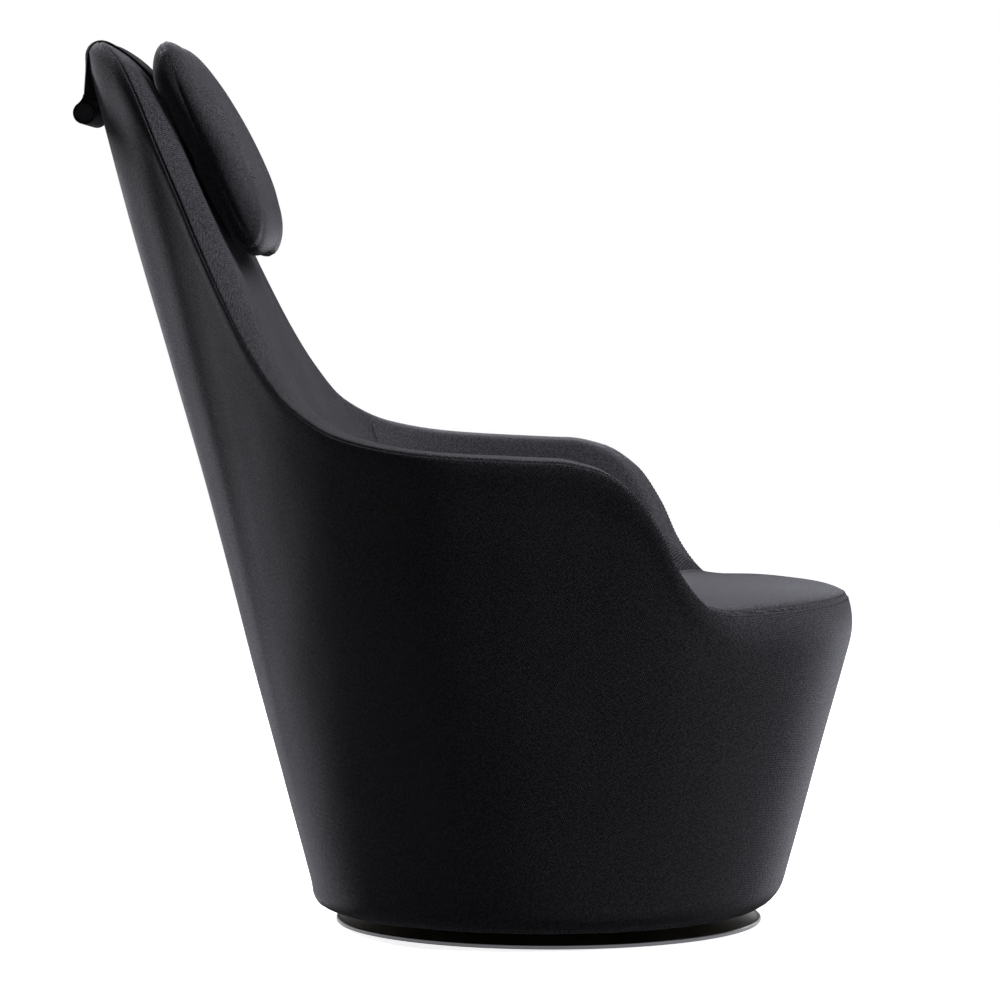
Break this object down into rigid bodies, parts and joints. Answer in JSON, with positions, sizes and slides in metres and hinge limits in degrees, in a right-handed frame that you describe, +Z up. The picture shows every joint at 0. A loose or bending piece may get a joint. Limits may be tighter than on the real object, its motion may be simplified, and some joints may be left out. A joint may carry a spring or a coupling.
{
  "type": "high back lounge chair",
  "caption": "Upholstered tub lounge chair with a tall leaning back, low arms, a round swivel base and a headrest cushion hung over the back by a counterweighted strap.",
  "frame": {"origin": "on the floor, on the swivel's axis, in the underside of the base's glide ring", "axes": "+Z up along the swivel's axis, the chair's front towards -Y, +X to the sitter's left"},
  "size_m": [0.8142, 0.9511, 1.0812],
  "materials": {
    "fabric": "charcoal black woven wool, fine weave, double top-stitched seams",
    "foam": "moulded polyurethane foam",
    "steel": "black powder-coated steel tube and bar",
    "plate": "brushed, edge bright",
    "black_cover": "black, fine texture",
    "glide": "soft black nylon",
    "post": "turned, oiled",
    "bush": "natural nylon",
    "zinc": "zinc plated",
    "plywood": "birch plywood, sealed",
    "webbing": "elastic webbing",
    "strap": "the same fabric as the chair, folded and stitched",
    "roll_steel": "round bar",
    "roll_end": "fabric over a stiff disc"
  },
  "bodies": {
    "base": {"floor_glide": "glide", "base_plate": "plate", "base_cover": "black_cover", "spindle": "post", "spindle_bolts": "zinc", "retaining_clip": "zinc", "thrust_washer": "bush"},
    "chair": {"lower_bush": "bush", "upper_bush": "bush", "swivel_housing": "steel", "bottom_panel": "plywood", "cross_arms": "steel", "lower_ring": "steel", "seat_ring": "steel", "frame_posts": "steel", "left_arm_rod": "steel", "right_arm_rod": "steel", "back_hoop": "steel", "back_bars": "steel", "seat_straps": "webbing", "outer_foam": "foam", "inner_foam": "foam", "outer_cover": "fabric", "inner_cover": "fabric", "seat_core": "foam", "seat_topper": "foam", "seat_cover": "fabric", "strap_top": "strap"},
    "headrest": {"headrest_cover": "fabric", "headrest_core": "foam", "strap_front": "strap"},
    "counterweight": {"roll_sleeve": "strap", "roll_weight": "roll_steel", "roll_discs": "roll_end", "strap_rear": "strap"}
  },
  "joints": [
    {"name": "swivel", "type": "hinge", "parent": "base", "child": "chair", "pos_m": [0, 0, 0.03], "axis": [0, 0, 1], "continuous": true},
    {"name": "headrest_slide", "type": "slide", "parent": "chair", "child": "headrest", "axis": [0, 0.47, 0.8827], "range_m": [-0.045, 0.06], "deforming": ["strap_front"]},
    {"name": "counterweight_slide", "type": "slide", "parent": "chair", "child": "counterweight", "axis": [0, 0.262, 0.9651], "range_m": [-0.06, 0.045], "deforming": ["strap_rear"]}
  ],
  "couplings": [
    {"joint": "counterweight_slide", "follows": "headrest_slide", "ratio": -1}
  ]
}
